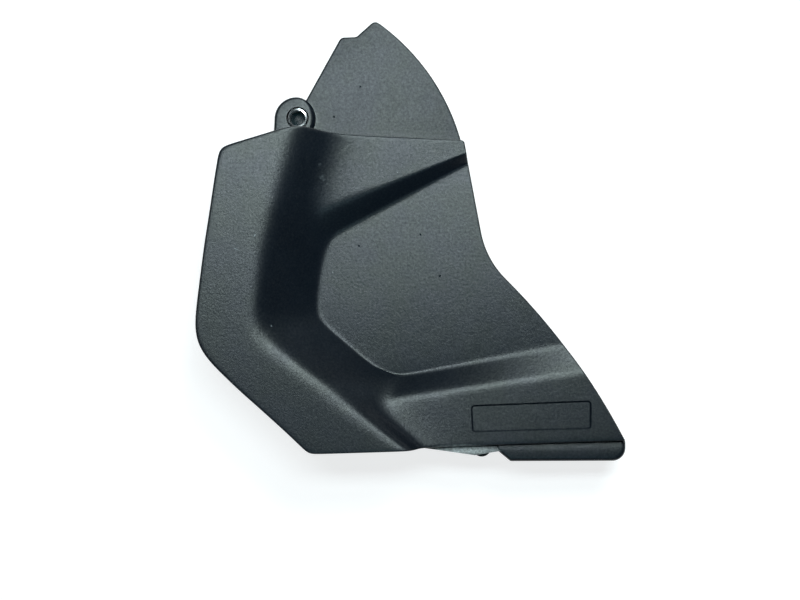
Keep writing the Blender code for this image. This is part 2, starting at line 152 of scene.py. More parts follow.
# Fineness of the meshes, and the limits that keep them clean
SMOOTHING = 3
TURN_STEPS = 96
ARC_STEPS = 12
KNEE_STEPS = 16
SWEEP_STEPS = 48
WING_STEPS = 64
WING_PEAK_STEPS = 4
EAR_STEPS = 60
FIELD_STEPS = 8
BEVEL_STEPS = 3
ROLL_STEPS = 5
CROWN_PITCH = 0.7
EXIT_EDGE_PITCH = 1.5
REACH_LIMIT = 0.45
INSET_LIMIT = 0.98
WELD = 0.01
SLIVER = 0.004
MERGE = 1e-6
COVER_SHARP_DEG = 32.0
SLEEVE_SHARP_DEG = 30.0

# Marks of use on the outer faces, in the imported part's frame: a place and a radius each
PITS = (
    (-33.1, 52.7, 0.5),
    (-22.1, -3.0, 0.5),
    (3.6, 1.6, 0.55),
    (12.0, -15.6, 0.5),
    (-21.9, 65.8, 0.5),
)
NICKS = ((-33.0, -14.0, 0.35), (-58.1, -36.5, 0.35), (-6.0, 27.5, 0.3))
SCUFFS = ((-36.8, 24.2, 2.6), (-38.8, 31.8, 2.2))
SPOT_CORE = 0.4

# Long marks: a middle, a half-length, a half-width and an angle in degrees
SCRATCHES = ((-64.6, 1.0, 1.0, 0.22, 60.0), (-72.4, -4.6, 1.2, 0.2, -35.0))
# Painted light: a pale streak on the top of the lip's strip, above a height, stands in for the
# light that falls on it
LIP_PAINTED_LIGHT = ((21.0, -88.4, 18.0, 2.6, 0.0),)
LIP_PAINTED_LIGHT_Z = 25.5
LIP_PAINTED_LIGHT_FADE = 1.0
STREAK_CORE = 0.3

# The wing's coarser grain starts past the shell's edge and leaves the ear out
WING_STARTS = 42.3
WING_START_SLOPE = 0.041
WING_START_FADE = 0.4
EAR_MARGIN = 0.6
EAR_MARK = (-49.3, 51.8, EAR_RADIUS + EAR_MARGIN)
EAR_MARK_CUT = 0.1

# Noise in the materials: scale per metre, detail and roughness
CLOUD = (45.0, 4.0, 0.6)
PATCH = (260.0, 3.0)
GRAIN = (1000.0, 3.0, 0.7)
STEEL_CLOUD = (900.0, 3.0)

# Noise that moves the edges of marks, each way by up to half of WANDER
WANDER_SCALE = 900.0
WANDER = 1.2

# How noise is read: from its low to its high value, then what these give if not 0 and 1
CLOUD_SHADE = (0.35, 0.65)
CLOUD_SHEEN = (0.40, 0.60)
GRAIN_SPECK = (0.55, 0.75, 0.0, 0.25)
GRAIN_GLOSS = (0.3, 0.7, 0.24, 0.46)
# The grain also breaks up the painted light on the lip strip's top
GRAIN_PAINTED_LIGHT = (0.35, 0.6, 0.25, 0.7)
PATCH_SCUFF = (0.52, 0.68)
PATCH_ROUGH = (0.3, 0.7, 0.365, 0.395)
STEEL_ROUGH = (0.3, 0.7, 0.19, 0.25)

# Shares of the plastic's marks and relief
NICK_SHARE = 0.6
SCUFF_SHARE = 0.32
PIT_GLOSS = 0.15
WING_ROUGHER = 0.05
PATCH_RELIEF = 0.5
PIT_RELIEF = 2.0
BUMP_STRENGTH = 0.8
BUMP_DEPTH = 0.1

# Colours
PLASTIC_SHADES = ((0.0012, 0.0028, 0.0055, 1), (0.0022, 0.0042, 0.0070, 1))
SPECK_COLOUR = (0.006, 0.009, 0.012, 1)
PALE_COLOUR = (0.16, 0.18, 0.19, 1)
# Painted light: the pale colour laid on the lip strip's top
PAINTED_LIGHT_COLOUR = (0.29, 0.315, 0.31, 1)
SHEENS = ((0.97, 1.0, 0.95, 1), (0.97, 0.98, 1.0, 1))
STEEL_SHADES = ((0.60, 0.62, 0.64, 1), (0.74, 0.75, 0.75, 1))
WHITE = (1, 1, 1, 1)

# Camera
CAMERA_AT = (-6.06, -25.16, 900.0)
CAMERA_LENS = 93.75
CAMERA_CLIP = 20.0
SENSOR = 36.0

# Floor, in metres, with the shadow that gathers close to the part
FLOOR_SIZE = 12.0
FLOOR_PAINT = (0.82, 0.82, 0.82, 1)
FLOOR_SHOWN = (0.36, 0.36, 0.36, 1)
FLOOR_GLOW = 0.76
SHADOW_COLOUR = (0.005, 0.013, 0.016, 1)
SHADOW_REACH = 0.05
SHADOW_OPENNESS = (0.14, 0.30)

# Light: each lamp's place, target and size in metres, power, colour and spread in degrees
SKY_COLOUR = (0.70, 0.90, 1.0, 1.0)
SKY_STRENGTH = 0.015
LAMP_COLOUR = (0.86, 1.0, 1.03)
FRONT_COLOUR = (0.6, 0.9, 1.0)
LAMPS = {
    "key": ((-0.05, 0.105, 0.60), (-0.05, 0.105, 0.0), (0.40, 0.10), 0.76, LAMP_COLOUR, 80.0),
    "back": ((0.22, 0.52, 0.80), (0.0, -0.05, 0.02), (0.40, 0.30), 9.0, LAMP_COLOUR, 180.0),
    "front": ((0.0, -0.50, 0.80), (0.0, 0.0, 0.02), (0.50, 0.30), 1.2, FRONT_COLOUR, 180.0),
}

# A section of the shell: four places in plan, the heights of the wall's root and of the open
# side, how far from ridge and root the bends begin, and how far the root is moved along
FIELDS = "rim ridge root exit root_z exit_z ridge_soft root_soft root_shift"
Station = namedtuple("Station", FIELDS, defaults=(0.0,))

STATIONS = (
    # top edge and fin
    Station((-80.6, 37.9), (-49.2, 46.9), (-28.2, 43.7), (20.8, 41.7),
            FIN_ROOT_Z, FIN_TIP_Z, 11.0, 24.0, -3.0),
    Station((-82.7, 24.3), (-55.1, 24.3), (-34.8, 25.7), (21.1, 38.8),
            FIN_ROOT_Z, FIN_TIP_Z, 10.0, 22.0, -3.0),
    Station((-84.8, 9.8), (-59.2, 9.4), (-40.2, 11.5), (21.5, 36.2),
            FIN_ROOT_Z, FIN_TIP_Z, 9.0, 18.0, -4.0),
    # pocket
    Station((-86.5, -0.4), (-61.5, -0.4), (-36.3, 0.9), (22.5, 32.4),
            POCKET_Z, POCKET_Z, 9.0, 8.0),
    Station((-87.7, -9.5), (-63.5, -9.5), (-39.3, -9.2), (24.1, 24.0),
            POCKET_Z, POCKET_Z, 8.0, 8.0),
    Station((-89.7, -25.2), (-65.4, -25.2), (-41.2, -23.9), (27.6, 1.4),
            POCKET_Z, POCKET_Z, 7.0, 7.0),
    Station((-91.72, -43.4), (-66.0, -38.8), (-41.0, -33.1), (33.6, -13.0),
            POCKET_Z, POCKET_Z, 7.0, 7.0),
    Station((-78.8, -56.3), (-54.2, -47.8), (-29.2, -42.4), (47.1, -25.4),
            POCKET_Z, POCKET_Z, 8.0, 7.0),
    Station((-72.3, -62.5), (-45.2, -54.8), (-15.5, -54.9), (55.4, -34.4),
            POCKET_Z, POCKET_Z, 8.0, 7.0),
    Station((-65.7, -68.3), (-36.9, -61.4), (-5.2, -57.2), (63.5, -44.1),
            POCKET_Z, POCKET_Z, 8.0, 9.0),
    # lower panel
    Station((-60.7, -72.8), (-29.9, -67.0), (-12.3, -66.8), (71.8, -55.2),
            LOW_ROOT_Z, LOW_TIP_Z, 10.0, 16.0, -2.5),
    Station((-52.5, -80.2), (-17.6, -76.2), (-4.4, -75.1), (80.9, -69.0),
            LOW_ROOT_Z, LOW_TIP_Z, 10.0, 18.0, -4.0),
    Station((-43.6, -88.8), (-2.2, -87.5), (5.2, -86.6), (88.2, -84.0),
            LOW_ROOT_Z, LOW_TIP_Z, 9.0, 16.0, -1.5),
)
# Rows and columns of the cage once the two end rows and the rim column are held
FIN_EDGE, POCKET_TOP, POCKET_FOOT, BAND_FOOT = 3, 4, 10, 11
RIM, HOLD, PANEL, RIDGE, WALL_TOP, WALL_FOOT, ROOT, FLOOR, EXIT = range(9)
CREST_SHARES = ((PANEL, 0.5), (RIDGE, 1.0), (WALL_TOP, 0.5))


def collection(name):
    group = bpy.data.collections.new(name)
    bpy.context.scene.collection.children.link(group)
    return group


def mesh_object(name, mesh, group):
    obj = bpy.data.objects.new(name, mesh)
    group.objects.link(obj)
    return obj


def object_from(name, bm, group):
    """A new object whose mesh is what was built."""
    mesh = bpy.data.meshes.new(name)
    bm.to_mesh(mesh)
    bm.free()
    return mesh_object(name, mesh, group)


def band(bm, ring, following):
    """Faces between two closed rings of the same count."""
    count = len(ring)
    for index in range(count):
        after = (index + 1) % count
        bm.faces.new((ring[index], ring[after], following[after], following[index]))


def apply_modifiers(obj):
    """The object's evaluated mesh takes the place of its mesh and modifiers."""
    graph = bpy.context.evaluated_depsgraph_get()
    graph.update()
    made = bpy.data.meshes.new_from_object(obj.evaluated_get(graph))
    obj.modifiers.clear()
    obj.data = made


def combine(obj, tools, operation):
    """Joins the tools to the object, or cuts them from it, and removes them."""
    for tool in tools:
        step = obj.modifiers.new(operation.lower(), "BOOLEAN")
        step.operation = operation
        step.solver = "MANIFOLD"
        step.object = tool
        apply_modifiers(obj)
        bpy.data.objects.remove(tool, do_unlink=True)


def drop_slivers(obj):
    """Joins vertices that the cuts left almost in one place, and drops doubled faces."""
    bm = bmesh.new()
    bm.from_mesh(obj.data)
    bmesh.ops.triangulate(bm, faces=bm.faces)
    bmesh.ops.remove_doubles(bm, verts=bm.verts, dist=SLIVER * MM)
    bmesh.ops.dissolve_degenerate(bm, edges=bm.edges, dist=SLIVER * MM)
    copies = {}
    for face in bm.faces:
        copies.setdefault(frozenset(face.verts), []).append(face)
    doubled = [face for same in copies.values() if len(same) > 1 for face in same]
    bmesh.ops.delete(bm, geom=doubled, context="FACES")
    bm.to_mesh(obj.data)
    bm.free()


def toward(start, end, distance):
    """The point at this distance from start on the way to end, short of the middle."""
    start, end = Vector(start), Vector(end)
    span = (end - start).length
    return start.lerp(end, min(distance / span, REACH_LIMIT))


def turned(vector, angle):
    """A plan vector turned anticlockwise by an angle."""
    return Vector((
        vector.x * math.cos(angle) - vector.y * math.sin(angle),
        vector.x * math.sin(angle) + vector.y * math.cos(angle),
    ))


def rounded(corners, radii, steps=ARC_STEPS):
    """A closed plan outline with each corner made an arc of its radius."""
    outline = []
    count = len(corners)
    for index, (corner, radius) in enumerate(zip(corners, radii)):
        here = Vector(corner)
        if radius <= 0:
            outline.append(here)
            continue
        back = (Vector(corners[index - 1]) - here).normalized()
        ahead = (Vector(corners[(index + 1) % count]) - here).normalized()
        half = back.angle(ahead) / 2
        reach = radius / math.tan(half)
        centre = here + (back + ahead).normalized() * radius / math.sin(half)
        first = here + back * reach - centre
        last = here + ahead * reach - centre
        turn = -first.angle_signed(last)
        outline += [centre + turned(first, turn * step / steps) for step in range(steps + 1)]
    return outline


def circle_from(start, end, radius):
    """Centre of the circle of this radius through both points, on the right of the way."""
    middle = (start + end) / 2
    along = end - start
    side = Vector((along.y, -along.x)).normalized()
    return middle + side * math.sqrt(max(radius**2 - (along.length / 2) ** 2, 0.0))


def arc(centre, start, end, steps):
    """Points on the way round the centre from start to end, the short way."""
    first = start - centre
    turn = -first.angle_signed(end - centre)
    return [centre + turned(first, turn * step / steps) for step in range(steps + 1)]


def plate(name, outline, low, high, group, rounding=0.0):
    """A flat piece between two heights, made from a filled 2D curve."""
    curve = bpy.data.curves.new(name, "CURVE")
    curve.dimensions = "2D"
    curve.fill_mode = "BOTH"
    curve.extrude = (high - low) / 2 * MM - rounding * MM
    curve.bevel_depth = rounding * MM
    curve.bevel_resolution = BEVEL_STEPS
    curve.offset = -rounding * MM
    spline = curve.splines.new("POLY")
    spline.points.add(len(outline) - 1)
    for point, place in zip(spline.points, outline):
        point.co = (place[0] * MM, place[1] * MM, 0.0, 1.0)
    spline.use_cyclic_u = True
    source = mesh_object(name, curve, group)
    source.location.z = (high + low) / 2 * MM
    bpy.context.view_layer.update()
    graph = bpy.context.evaluated_depsgraph_get()
    mesh = bpy.data.meshes.new_from_object(source.evaluated_get(graph))
    weld = bmesh.new()
    weld.from_mesh(mesh)
    bmesh.ops.remove_doubles(weld, verts=weld.verts, dist=WELD * MM)
    bmesh.ops.recalc_face_normals(weld, faces=weld.faces)
    weld.to_mesh(mesh)
    weld.free()
    solid = bpy.data.objects.new(name, mesh)
    solid.matrix_world = source.matrix_world
    bpy.data.objects.remove(source, do_unlink=True)
    group.objects.link(solid)
    return solid


def cylinder(name, centre, radius, low, high, group):
    bm = bmesh.new()
    bmesh.ops.create_cone(
        bm,
        cap_ends=True,
        segments=TURN_STEPS,
        radius1=radius * MM,
        radius2=radius * MM,
        depth=(high - low) * MM,
    )
    obj = object_from(name, bm, group)
    obj.location = (centre[0] * MM, centre[1] * MM, (high + low) / 2 * MM)
    return obj


def box(name, low, high, group):
    bm = bmesh.new()
    bmesh.ops.create_cube(bm, size=MM)
    size = Vector(high) - Vector(low)
    middle = (Vector(high) + Vector(low)) / 2 * MM
    bmesh.ops.scale(bm, vec=size, verts=bm.verts)
    bmesh.ops.translate(bm, vec=middle, verts=bm.verts)
    return object_from(name, bm, group)


def tree_of(obj):
    bm = bmesh.new()
    bm.from_mesh(obj.data)
    tree = BVHTree.FromBMesh(bm)
    bm.free()
    return tree


def surface_z(tree, x, y):
    """Height of the outer face above a plan point, in millimetres."""
    hit = tree.ray_cast(Vector((x * MM, y * MM, 2 * PANEL_Z * MM)), Vector((0.0, 0.0, -1.0)))
    return hit[0].z / MM if hit[0] else None


def section(station, overrun=0.0, sink=0.0):
    """One row of the shell's cage, from the rim to the chain exit or past it.

    The lower panel sags a little beside the wall.
    """
    rim = Vector((*station.rim, PANEL_Z))
    ridge = Vector((*station.ridge, PANEL_Z))
    root = Vector((*station.root, station.root_z - sink))
    end = Vector((*station.exit, station.exit_z - sink))
    root += (end - root).normalized() * station.root_shift
    end += (end - root).normalized() * overrun
    beside = toward(root, end, station.root_soft)
    beside.z -= LOW_SAG if station.root_z == LOW_ROOT_Z else 0.0
    return [
        rim,
        toward(rim, ridge, EDGE_HOLD),
        toward(ridge, rim, station.ridge_soft),
        ridge,
        toward(ridge, root, station.ridge_soft),
        toward(root, ridge, station.root_soft),
        root,
        beside,
        end,
    ]


def hold_beside(row, inner, corner_hold):
    """One more row close to an end row keeps its edge tight, save where the rim turns."""
    held = [toward(here, there, EDGE_HOLD) for here, there in zip(row, inner)]
    corner = row[RIM]
    row[HOLD] = toward(corner, row[PANEL], corner_hold)
    held[RIM] = toward(corner, inner[RIM], corner_hold)
    held[HOLD] = corner + (row[HOLD] + held[RIM] - 2 * corner) * CORNER_SHARE
    return held


def crown_drop(share):
    """How far the pocket's floor falls from its middle row to its last."""
    return POCKET_CROWN * max(share, 0.0) ** POCKET_CROWN_POWER


def held_rows():
    """All sections, the upper one crested at its ridge, and the rows that hold the ends."""
    pocket = [row for row, station in enumerate(STATIONS) if station.root_z == POCKET_Z]
    middle = (pocket[0] + pocket[-1]) / 2
    rows = []
    for row, station in enumerate(STATIONS):
        share = (row - middle) / (pocket[-1] - middle) if row in pocket else 0.0
        rows.append(section(station, EXIT_ALLOWANCE, crown_drop(share)))
    for column, share in CREST_SHARES:
        rows[0][column].y += TOP_CREST * share
    after_top = hold_beside(rows[0], rows[1], TOP_CORNER_HOLD)
    before_foot = hold_beside(rows[-1], rows[-2], FOOT_CORNER_HOLD)
    return [rows[0], after_top] + rows[1:-1] + [before_foot, rows[-1]]


def rim_path(rows):
    """Row and column of each cage point along the three walled sides."""
    last = len(rows) - 1
    top = [(0, column) for column in range(EXIT, RIM, -1)]
    side = [(row, RIM) for row in range(last + 1)]
    foot = [(last, column) for column in range(HOLD, EXIT + 1)]
    return top + side + foot


def outward(points, index):
    """Plan direction away from the shell at one point of its walled rim."""
    before = points[max(index - 1, 0)]
    after = points[min(index + 1, len(points) - 1)]
    along = (after - before).to_2d().normalized()
    return Vector((along.y, -along.x, 0.0))


def shell_cage():
    """Top faces and side walls of the shell as a coarse open cage."""
    rows = held_rows()
    path = rim_path(rows)
    rim_points = [rows[row][column].copy() for row, column in path]
    slope = math.tan(math.radians(DRAFT_DEG))

    bm = bmesh.new()
    bm.edges.layers.float.new("crease_edge")
    bm.verts.layers.float.new("crease_vert")
    grid = [[bm.verts.new(point * MM) for point in row] for row in rows]
    held, skirt = [], []
    for index, point in enumerate(rim_points):
        away = outward(rim_points, index)
        grid[path[index][0]][path[index][1]].co += away * HOLD_SHRINK * MM
        near = point + away * (HOLD_SHRINK + EDGE_HOLD * slope)
        near.z = point.z - EDGE_HOLD
        held.append(bm.verts.new(near * MM))
        low = point + away * (HOLD_SHRINK + (point.z + RIM_ALLOWANCE) * slope)
        low.z = -RIM_ALLOWANCE
        skirt.append(bm.verts.new(low * MM))

    for upper, lower in zip(grid, grid[1:]):
        for column in range(EXIT):
            corner = (upper[column], lower[column], lower[column + 1], upper[column + 1])
            bm.faces.new(corner)
    edge = [grid[row][column] for row, column in path]
    for upper, lower in ((edge, held), (held, skirt)):
        for index in range(len(edge) - 1):
            bm.faces.new((upper[index], lower[index], lower[index + 1], upper[index + 1]))
    bmesh.ops.recalc_face_normals(bm, faces=bm.faces)
    crease_cage(bm, grid, edge, held, skirt)
    return bm


def crease_cage(bm, grid, edge, held, skirt):
    """Tight breaks along the pocket's outline, softer ones beside the wall."""
    edge_layer = bm.edges.layers.float["crease_edge"]
    corner_layer = bm.verts.layers.float["crease_vert"]

    def crease(chain, value):
        for first, second in zip(chain, chain[1:]):
            bm.edges.get((first, second))[edge_layer] = value

    crease(skirt, BORDER_CREASE)
    crease([row[EXIT] for row in grid], BORDER_CREASE)
    crease((edge[0], held[0], skirt[0]), BORDER_CREASE)
    crease((edge[-1], held[-1], skirt[-1]), BORDER_CREASE)
    crease(grid[POCKET_TOP][ROOT:], POCKET_END_CREASE)
    side = [row[ROOT] for row in grid[POCKET_TOP : POCKET_FOOT + 1]]
    low, high = POCKET_SIDE_CREASE
    for index in range(len(side) - 1):
        crease(side[index : index + 2], low + (high - low) * index / (len(side) - 2))
    crease(grid[POCKET_FOOT][ROOT:], POCKET_END_CREASE)
    crease(grid[FIN_EDGE][FLOOR:], POCKET_END_CREASE)
    crease(grid[FIN_EDGE][ROOT : FLOOR + 1], SOFT_CREASE)
    crease(grid[BAND_FOOT][FLOOR:], POCKET_END_CREASE)
    crease(grid[BAND_FOOT][ROOT : FLOOR + 1], SOFT_CREASE)
    for corner in (skirt[0], skirt[-1]):
        corner[corner_layer] = BORDER_CREASE


def smooth_shell(name, group):
    """The cage given its wall thickness and smoothed."""
    obj = object_from(name, shell_cage(), group)
    walls = obj.modifiers.new("walls", "SOLIDIFY")
    walls.thickness = WALL * MM
    walls.offset = -1.0
    walls.use_even_offset = True
    walls.use_quality_normals = True
    soft = obj.modifiers.new("soft", "SUBSURF")
    soft.levels = SMOOTHING
    soft.render_levels = SMOOTHING
    soft.use_limit_surface = True
    apply_modifiers(obj)
    return obj


def top_edge():
    """Plan points of the shell's upper edge, from the rim corner to the exit."""
    return [point.to_2d() for point in section(STATIONS[0])]


def foot_edge():
    """Plan points that lead the shell's lower edge."""
    last = STATIONS[-1]
    return {RIDGE: Vector(last.ridge), ROOT: Vector(last.root), EXIT: Vector(last.exit)}


def exit_line():
    """Plan outline of the open side, from its rounded top corner to its tip."""
    before = top_edge()[FLOOR]
    top = Vector(STATIONS[0].exit)
    tip = Vector(STATIONS[-1].exit)
    shoulder = Vector(EXIT_SHOULDER)
    corners = [before, top, Vector(EXIT_KNEE), shoulder]
    hollow = rounded(corners, [0.0, EXIT_CORNER, EXIT_KNEE_RADIUS, 0.0], KNEE_STEPS)
    sweep = arc(circle_from(shoulder, tip, EXIT_SWEEP_RADIUS), shoulder, tip, SWEEP_STEPS)
    return hollow[1:-1] + sweep


def exit_cutter(group):
    """Everything past the open side, bounded by that side's outline."""
    line = exit_line()
    tip = line[-1]
    over = 4 * EXIT_ALLOWANCE
    above = line[0] + Vector((0.0, over))
    past_tip = tip + (tip - line[-2]).normalized() * over
    far = tip.x + 2 * over
    outline = [above] + line + [past_tip, Vector((far, past_tip.y)), Vector((far, above.y))]
    return plate("past_exit", outline, -2 * RIM_ALLOWANCE, PANEL_Z + RIM_ALLOWANCE, group)


def edge_cutter(name, path, size, group):
    """A square bar on its corner, laid along an edge to chamfer it."""
    bm = bmesh.new()
    rings = []
    for index, point in enumerate(path):
        along = (path[min(index + 1, len(path) - 1)] - path[max(index - 1, 0)]).normalized()
        across = along.cross(Vector((0.0, 0.0, 1.0))).normalized()
        up = across.cross(along)
        corners = (across, up, -across, -up)
        rings.append([bm.verts.new((point + corner * size) * MM) for corner in corners])
    for ring, following in zip(rings, rings[1:]):
        band(bm, ring, following)
    bm.faces.new(rings[0][::-1])
    bm.faces.new(rings[-1])
    bmesh.ops.recalc_face_normals(bm, faces=bm.faces)
    return object_from(name, bm, group)


def exit_edge_cutter(tree, group):
    """The bar that takes the sharpness off the open side's outer edge."""
    line = exit_line()
    path = []
    for first, second in zip(line, line[1:]):
        steps = max(int((second - first).length / EXIT_EDGE_PITCH), 1)
        for step in range(steps):
            place = first.lerp(second, step / steps)
            inside = place - Vector((EDGE_HOLD, 0.0))
            height = surface_z(tree, *place) or surface_z(tree, *inside)
            path.append(Vector((place.x, place.y, height)))
    return edge_cutter("exit_edge", path, EXIT_CHAMFER, group)


def wing_lift(y):
    """How far the wing has risen at this distance past the shell's upper edge."""
    return max(y - STATIONS[0].ridge[1], 0.0) * math.tan(math.radians(WING_LEAN_DEG))


def raise_wing(obj):
    """The wing and the tops of its webs lean up a little towards the tip."""
    for vert in obj.data.vertices:
        if vert.co.z > -obj.location.z:
            vert.co.z += wing_lift(vert.co.y / MM) * MM
    return obj


def ear_centre():
    return Vector(STATIONS[0].ridge) + Vector(EAR_FROM_RIDGE)


def wing_outline():
    """Rounded shoulder, step and peak, then one long arc back to the shell's corner."""
    ridge = Vector(STATIONS[0].ridge)
    end = Vector(STATIONS[0].exit) + Vector(WING_TAIL)
    peak = ridge + Vector(WING_PEAK)
    centre = circle_from(peak, end, WING_RADIUS)
    past_peak = arc(centre, peak, end, WING_STEPS)[WING_PEAK_STEPS:]
    corners = [
        ridge + Vector(WING_HEEL),
        ridge + Vector(WING_SHOULDER),
        ridge + Vector(WING_STEP),
        peak,
        past_peak[0],
    ]
    head = rounded(corners, [0.0, WING_ROUND, WING_ROUND, WING_ROUND, 0.0])
    buried = [point - Vector((0.0, WALL / 2)) for point in top_edge()[RIDGE:]]
    return head[:-1] + past_peak + buried[::-1]


def ear_outline():
    """A round end over straight sides that run down into the shell, the left one flared."""
    centre = ear_centre() + Vector(EAR_ASIDE)
    start = -math.radians(EAR_UNDERCUT_DEG)
    sweep = math.pi - start
    round_end = [
        centre + turned(Vector((EAR_RADIUS, 0.0)), start + sweep * step / EAR_STEPS)
        for step in range(EAR_STEPS + 1)
    ]
    depth = EAR_FROM_RIDGE[1] + EAR_ASIDE[1]
    left = round_end[-1] + Vector(EAR_HEEL) - Vector((0.0, depth))
    right = round_end[0] - Vector((0.0, WALL))
    flare = left + Vector(EAR_FLARE_REACH)
    buried = flare - Vector((0.0, WALL / 2))
    foot = rounded([round_end[-1], left, flare], [0.0, EAR_FLARE, 0.0])[1:-1]
    return round_end + foot + [flare, buried, right]


def ear_plate(group):
    """The ear, whose side towards the wing slants out from its top."""
    obj = plate("ear", ear_outline(), -FLAT_ALLOWANCE, EAR_Z, group, EAR_ROUND)
    middle = ear_centre().x + EAR_ASIDE[0]
    for vert in obj.data.vertices:
        height = (vert.co.z + obj.location.z) / MM
        share = max(vert.co.x / MM - middle, 0.0) / EAR_RADIUS
        rise = max(height - WING_Z, 0.0) / (EAR_Z - WING_Z)
        vert.co.x -= EAR_SLANT * share * rise * MM
    return obj


def foot_outline():
    """The lip below the lower edge, with a slanted start and a rounded end."""
    edge = foot_edge()
    tip = edge[EXIT]
    low = tip.y - FOOT_REACH
    inner = tip.y + WALL / 2
    start = edge[ROOT].x + FOOT_START - FOOT_LEAD
    end = tip.x + FOOT_PAST_TIP
    corners = [
        (start, inner),
        (start, low + FOOT_SLANT * FOOT_RISE),
        (start + FOOT_SLANT, low),
        (end, low),
        (end, tip.y - FOOT_PAST_TIP),
        (tip.x - WALL / 2, inner),
    ]
    return rounded(corners, [0.0, 0.0, FOOT_BEND, FOOT_CORNER, 0.0, 0.0])


def strip_outline():
    """Thin web that widens from the wall's root to the foot."""
    edge = foot_edge()
    foot = edge[ROOT] + Vector((FOOT_START, -STRIP_REACH))
    step = foot + Vector(STRIP_STEP)
    last = foot.x + STRIP_OVERLAP
    return [
        edge[RIDGE] + Vector((0.0, WALL / 2)),
        edge[ROOT] + Vector(STRIP_HEEL),
        foot + Vector(STRIP_BEND),
        step,
        Vector((last, step.y)),
        Vector((last, edge[ROOT].y + WALL / 2)),
    ]


def edge_distance(point, outline):
    """Shortest plan distance from a point to an outline's edges."""
    best = float("inf")
    for index, start in enumerate(outline):
        end = outline[(index + 1) % len(outline)]
        share = geometry.intersect_point_line(point, start, end)[1]
        share = min(max(share, 0.0), 1.0)
        best = min(best, (start.lerp(end, share) - point).length)
    return best


def crowned_plate(name, outline, height_at, thickness, rounding, group):
    """A plate over the lip's slope, whose top follows height_at(place) and rolls over."""
    dense = []
    for index, start in enumerate(outline):
        end = outline[(index + 1) % len(outline)]
        steps = max(int((end - start).length / CROWN_PITCH), 1)
        dense += [start.lerp(end, step / steps) for step in range(steps)]
    count = len(dense)
    points = list(dense)
    for roll_step in range(1, ROLL_STEPS + 1):
        inset = rounding * (1 - math.cos(math.pi / 2 * roll_step / ROLL_STEPS))
        for index, point in enumerate(dense):
            along = (dense[(index + 1) % count] - dense[index - 1]).normalized()
            moved = point + Vector((-along.y, along.x)) * inset
            if edge_distance(moved, outline) > inset * INSET_LIMIT:
                points.append(moved)
    low = Vector((min(p.x for p in dense), min(p.y for p in dense)))
    high = Vector((max(p.x for p in dense), max(p.y for p in dense)))
    for row in range(int((high.y - low.y) / CROWN_PITCH)):
        for column in range(int((high.x - low.x) / CROWN_PITCH)):
            place = low + Vector((column + (row % 2) / 2, row)) * CROWN_PITCH
            if edge_distance(place, outline) > rounding + CROWN_PITCH / 2:
                points.append(place)
    ring = [(index, (index + 1) % count) for index in range(count)]
    flat = geometry.delaunay_2d_cdt(points, ring, [list(range(count))], 1, MERGE)
    places, triangles = flat[0], flat[2]
    bm = bmesh.new()
    top = []
    for place in places:
        inside = min(edge_distance(place, outline), rounding)
        roll = math.sqrt(max(rounding**2 - (rounding - inside) ** 2, 0.0)) - rounding
        top.append(bm.verts.new(Vector((place.x, place.y, height_at(place) + roll)) * MM))
    faces = [bm.faces.new([top[index] for index in corners]) for corners in triangles]
    border = bmesh.ops.extrude_face_region(bm, geom=faces)
    for item in border["geom"]:
        if isinstance(item, bmesh.types.BMVert):
            item.co.z = (lip_height(item.co.x / MM) - thickness) * MM
    bmesh.ops.recalc_face_normals(bm, faces=bm.faces)
    return object_from(name, bm, group)


def lip_height(x):
    """The lip keeps one step below the lower panel's sloping edge."""
    last = STATIONS[-1]
    slope = (last.exit_z - last.root_z) / (last.exit[0] - last.root[0])
    return last.root_z - LIP_STEP + (x - last.root[0]) * slope


def foot_height(place):
    """The foot's crown: lowest beside the wall, highest at its crest, then lower again."""
    share = (STATIONS[-1].exit[1] - place.y) / FOOT_REACH
    return lip_height(place.x) - FOOT_CROWN * ((share - FOOT_CREST) / FOOT_CREST) ** 2


def strip_plate(group):
    """The strip follows the lip's slope and leans a little towards the wall."""
    obj = plate("strip", strip_outline(), -STRIP_THICKNESS, 0.0, group)
    outer = STATIONS[-1].root[1] - STRIP_REACH
    lean = math.tan(math.radians(STRIP_TILT_DEG))
    for vert in obj.data.vertices:
        place = vert.co / MM
        vert.co.z += (lip_height(place.x) - max(place.y - outer, 0.0) * lean) * MM
    return obj


def wing_ribs(group):
    """Webs that fan out under the wing and carry it down to the rear plane."""
    ridge = Vector(STATIONS[0].ridge)
    root = Vector(STATIONS[0].root)
    made = []
    for index, reach in enumerate(WING_RIB_ENDS):
        start = root + Vector((WING_RIB_SPACING * index, -WALL / 2))
        end = ridge + Vector(reach)
        side = (end - start).orthogonal().normalized() * WING_RIB / 2
        outline = [start + side, start - side, end - side, end + side]
        top = WING_Z - WING_THICKNESS / 2
        made.append(raise_wing(plate(f"wing_rib_{index}", outline, -FLAT_ALLOWANCE, top, group)))
    return made


def gusset(name, station, group):
    """A triangular web between the side wall and the underside of the raised panel."""
    base = Vector(station.rim)
    inward = Vector(station.ridge) - base
    reach = inward.length * GUSSET_SHARE
    inward.normalize()
    across = inward.orthogonal() * GUSSET / 2
    top = PANEL_Z - WALL / 2
    profile = [(WALL / 2, GUSSET_FOOT_Z), (reach, top), (WALL / 2, top)]
    bm = bmesh.new()
    sides = []
    for shift in (across, -across):
        ring = []
        for distance, height in profile:
            place = base + inward * distance + shift
            ring.append(bm.verts.new(Vector((place.x, place.y, height)) * MM))
        sides.append(ring)
    web = bm.faces.new(sides[0])
    back = bm.faces.new(sides[1][::-1])
    bmesh.ops.bridge_loops(bm, edges=list(web.edges) + list(back.edges))
    bmesh.ops.recalc_face_normals(bm, faces=bm.faces)
    return object_from(name, bm, group)


